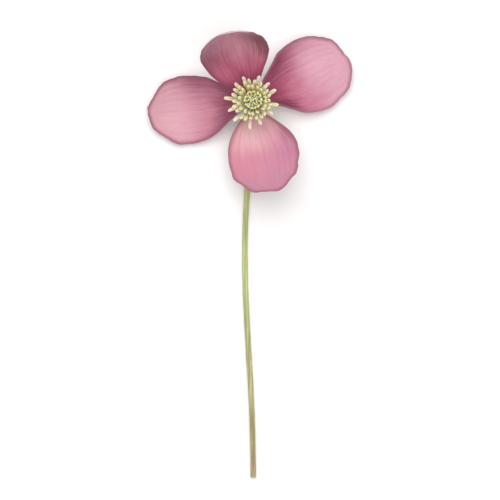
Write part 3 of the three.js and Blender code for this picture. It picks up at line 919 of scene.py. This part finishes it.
# Silky hairs on the upper two thirds of each style, rooted just under its skin
silk = []
for stand in style_stands:
    for k in range(SILK_PER_STYLE):
        seed = stand["seed"] * 60 + k
        share = SILK_FROM + SILK_SPAN * (k / SILK_PER_STYLE)
        around = vary(seed) * math.tau
        spoke = Vector((math.cos(around), math.sin(around), 0))
        foot = bend_style(Vector((0, 0, share)), stand)
        root = TO_HEART @ leaned(foot + spoke * SILK_ROOT, stand)
        outward = spoke * (SILK_LEAN + SILK_LEAN_SPREAD * vary(seed + 0.4))
        tip = TO_HEART @ leaned(foot + outward + Vector((0, 0, 1)), stand)
        direction = (tip - root).normalized()
        bend = direction.orthogonal() * SILK_BEND * vary(seed + 0.6)
        silk.append((root, direction, bend, SILK_LENGTH * (0.6 + 0.6 * vary(seed + 0.8))))
style_silk = needles("style_silk", silk, SILK_RADIUS)

style_finish = Finish("style_skin", Specular_IOR_Level=0.4, **CLEAR_TISSUE)
mottle = style_finish.clouds(style_finish.place(), 2200, 3)
rise = style_finish.stir(style_finish.attribute("rise"), mottle, 0.3)
style_base = style_finish.ramp(rise, (0.0, 0xD0D484), (0.5, 0xE0E292), (0.85, 0xEEEE9C),
                               (1.0, 0xF6F4B8))
style_finish.bump(mottle, 0.00004)
styles.data.materials.append(
    style_finish.wear(style_base, style_finish.span(mottle, 0, 1, 0.45, 0.65))
)

silk_finish = Finish("style_silk", Sheen_Weight=0.3, **CLEAR_TISSUE)
tints = silk_finish.clouds(silk_finish.place(), 900, 2)
silk_base = silk_finish.mix(tints, colour(0xECEAA6), colour(0xFBF9D8))
style_silk.data.materials.append(
    silk_finish.wear(silk_base, silk_finish.span(tints, 0, 1, 0.35, 0.55))
)

to_frame(styles)
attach(styles, "root")
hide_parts("pistils")
to_frame(style_silk)
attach(style_silk, "root")


# Stamens
# A dense tuft of some sixty round the styles. Each has a flat cream filament and a long anther of
# two yellow-green pollen sacs with a groove between them. The inner ones stand, the outer splay.

STAMEN_RINGS = [
    dict(count=14, root=1.5, height=6.4, lean=1, bow=0.05),
    dict(count=18, root=1.62, height=6.1, lean=10, bow=0.2),
    dict(count=22, root=1.7, height=5.8, lean=20, bow=0.3),
    dict(count=12, root=1.75, height=5.4, lean=36, bow=0.4),
]
STAMEN_SEED = 742
STAMEN_SWAY = 0.55
STAMEN_SIDES = 24
FILAMENT_LENGTH = 4.0
FILAMENT_FLATNESS = 0.6
FILAMENT_BOW = 0.25
FILAMENT_STREAKS_A_METRE = (3000, 3000, 500)
FILAMENT_PROFILE = [(0.25, 0.0), (0.23, 0.15), (0.21, 0.35), (0.19, 0.55), (0.17, 0.8),
                    (0.15, 0.97)]
ANTHER_LENGTH = 2.1
ANTHER_PROFILE = [(0.17, 0.0), (0.31, 0.03), (0.37, 0.08), (0.41, 0.16), (0.42, 0.28), (0.42, 0.42),
                  (0.41, 0.56), (0.39, 0.7), (0.35, 0.82), (0.27, 0.91), (0.17, 0.96), (0.08, 0.99),
                  (0.01, 1.0)]
ANTHER_WIDEST = 0.42
ANTHER_FLATNESS = 0.8
ANTHER_TURN = 2.4
LOBE_RISE = 0.3
GROOVE_DEPTH = 0.5
GROOVE_WIDTH = 0.34
SEAM_DEPTH = 0.12
SEAM_WIDTH = 0.06

filament_finish = Finish("filament", Specular_IOR_Level=0.4, **CLEAR_TISSUE)
where = filament_finish.stretch(filament_finish.place(), FILAMENT_STREAKS_A_METRE)
mottle = filament_finish.clouds(where, 1, 3)
filament_base = filament_finish.mix(mottle, colour(0xD9D6A8), colour(0xF3EFD6))
filament_finish.bump(mottle, 0.00003)
filament = filament_finish.wear(filament_base, filament_finish.span(mottle, 0, 1, 0.4, 0.6))

anther_finish = Finish("anther", Specular_IOR_Level=0.3, Sheen_Weight=0.15, **CLEAR_TISSUE)
where = anther_finish.place()
grains = anther_finish.clouds(where, 9000, 2)
patches = anther_finish.clouds(where, 1500, 2)
tint = anther_finish.attribute("tint")
young = anther_finish.mix(tint, colour(0xE2E078), colour(0xF0EF9E))
ripe = anther_finish.mix(tint, colour(0xF4F0B8), colour(0xFCFAE2))
anther_base = anther_finish.mix(anther_finish.attribute("ring"), young, ripe)
anther_base = anther_finish.mix(anther_finish.span(patches, 0.4, 0.7, 0.0, 0.35), anther_base,
                                colour(0xFAF7DE))
anther_base = anther_finish.mix(anther_finish.span(grains, 0.3, 0.55, 0.2, 0.0), anther_base,
                                colour(0xC9BF72))
# Painted shade: the groove and the seams of each anther are darkened
groove_shade = anther_finish.math("MULTIPLY", anther_finish.attribute("groove_shade"), 0.35)
anther_base = anther_finish.mix(groove_shade, anther_base, colour(0xC6BE70))
anther_finish.bump(grains, 0.00009)
anther = anther_finish.wear(anther_base, anther_finish.span(grains, 0, 1, 0.6, 0.8))

# One stamen: the filament, then the anther. A deep groove down its front and back parts the two
# pollen sacs, which reach a little past it at both ends, and a fine seam runs down each sac, where
# it will split.
stamen_profile = [(r, share * FILAMENT_LENGTH) for r, share in FILAMENT_PROFILE]
stamen_profile += [(r, FILAMENT_LENGTH + share * ANTHER_LENGTH) for r, share in ANTHER_PROFILE]
pattern = grow_up("stamen_pattern", stamen_profile, STAMEN_SIDES)
# How deep in the groove or a seam each place lies, for the painted shade there
groove_shades = []
for vertex in pattern.data.vertices:
    x, y, z = vertex.co
    if z < FILAMENT_LENGTH - NEAR:
        vertex.co.x = x * FILAMENT_FLATNESS
        groove_shades.append(0)
        continue
    share = (z - FILAMENT_LENGTH) / ANTHER_LENGTH
    sideways = abs(y) / max(math.hypot(x, y), 1e-6)
    groove = math.exp(-(sideways / GROOVE_WIDTH) ** 2)
    seam = math.exp(-((1 - sideways) / SEAM_WIDTH) ** 2)
    pinch = 1 - GROOVE_DEPTH * groove - SEAM_DEPTH * seam
    vertex.co.x = x * ANTHER_FLATNESS * pinch
    vertex.co.y = y * pinch
    vertex.co.z = z + LOBE_RISE * abs(y) / ANTHER_WIDEST * (share ** 6 - (1 - share) ** 4)
    groove_shades.append(max(groove, seam))
pattern.data.attributes.new("groove_shade", "FLOAT", "POINT").data.foreach_set("value", groove_shades)
pattern.data.materials.append(filament)
pattern.data.materials.append(anther)
for polygon in pattern.data.polygons:
    polygon.material_index = int(polygon.center.z > FILAMENT_LENGTH + 2 * NEAR)


def bend_stamen(point, stand):
    """Fits the filament to the stamen's height, turns the anther and bows the whole."""
    filament_length = stand["height"] - ANTHER_LENGTH
    if point.z < FILAMENT_LENGTH:
        z = point.z * filament_length / FILAMENT_LENGTH
    else:
        z = point.z - FILAMENT_LENGTH + filament_length
    share = z / stand["height"]
    turn = Matrix.Rotation((vary(stand["seed"] + 0.13) - 0.5) * ANTHER_TURN, 3, "Z")
    grown = turn @ Vector((point.x, point.y, 0))
    bow = vary(stand["seed"] + 0.29) - 0.5
    sway = vary(stand["seed"] + 0.57) - 0.5
    grown.x += FILAMENT_BOW * bow * math.sin(math.pi * share)
    grown.y += STAMEN_SWAY * sway * share ** 2
    grown.z = z
    return grown


# Each stamen carries a tint of its own, and its ring as a share of the way out
outer_ring = len(STAMEN_RINGS) - 1
stamens = []
for stand in stands_of(STAMEN_RINGS, STAMEN_SEED):
    stamen = copy_to(pattern, stand, bend_stamen)
    own_values = {"tint": vary(stand["seed"] + 0.91), "ring": stand["ring"] / outer_ring}
    for name, value in own_values.items():
        values = [value] * len(stamen.data.vertices)
        stamen.data.attributes.new(name, "FLOAT", "POINT").data.foreach_set("value", values)
    stamens.append(stamen)
bpy.data.objects.remove(pattern)
stamens = join(stamens, "stamen_tuft")

to_frame(stamens)
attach(stamens, "root")
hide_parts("stamens")


# Table, light and camera
# The flower lies on a plain pale table. A large soft light stands beyond the flower, on the side
# that was its sky while it grew, and a weaker one before it, and the room fills the shadows. The
# camera looks down on it nearly square, with the stalk running down the picture.

TABLE_SIZE = 6
ROOM_LIGHT = 0.55
HEART_HEIGHT = 6
bpy.ops.mesh.primitive_plane_add(size=TABLE_SIZE)
table = bpy.context.object
table.name = table.data.name = "table"
table_finish = Finish("table_top", Specular_IOR_Level=0.15)
grain = table_finish.clouds(table_finish.place(), 60, 3)
table_base = table_finish.mix(grain, colour(0xF1F0EE), colour(0xF6F5F4))
table.data.materials.append(
    table_finish.wear(table_base, table_finish.span(grain, 0, 1, 0.7, 0.8))
)
table.select_set(False)


def soft_light(name, place, aim, size, power):
    lamp = bpy.data.lights.new(name, "AREA")
    lamp.shape = "DISK"
    lamp.size = size
    lamp.energy = power
    holder = bpy.data.objects.new(name, lamp)
    bpy.context.scene.collection.objects.link(holder)
    holder.location = place
    holder.visible_camera = False
    holder.rotation_euler = (aim - Vector(place)).to_track_quat("-Z", "Y").to_euler()


heart = Vector((FLOWER_X, FLOWER_Y, HEART_HEIGHT)) / 1000
soft_light("sky_light", place=(-0.10, 0.38, 0.86), aim=heart, size=0.9, power=4.7)
soft_light("front_light", place=(0.12, -0.24, 0.92), aim=heart, size=0.9, power=3.8)
world = bpy.data.worlds.new("studio")
world.use_nodes = True
room = world.node_tree.nodes["Background"]
room.inputs["Color"].default_value = colour(0xFBFBFC)
room.inputs["Strength"].default_value = ROOM_LIGHT
bpy.context.scene.world = world
bpy.context.scene.view_settings.view_transform = "Standard"

CAMERA_LENS = 200
CAMERA_ELEVATION = math.radians(83.2)
PICTURE_HEIGHT = 0.1
SENSOR = 36
middle = (cad_low + cad_high) / 2
distance = PICTURE_HEIGHT * CAMERA_LENS / SENSOR
camera = bpy.data.objects.new("camera", bpy.data.cameras.new("camera"))
camera.data.lens = CAMERA_LENS
camera.data.sensor_width = SENSOR
camera.data.clip_start = 0.01
back = Vector((0, -math.cos(CAMERA_ELEVATION), math.sin(CAMERA_ELEVATION)))
camera.location = middle + back * distance
camera.rotation_euler = (-back).to_track_quat("-Z", "Y").to_euler()
bpy.context.scene.collection.objects.link(camera)
bpy.context.scene.camera = camera
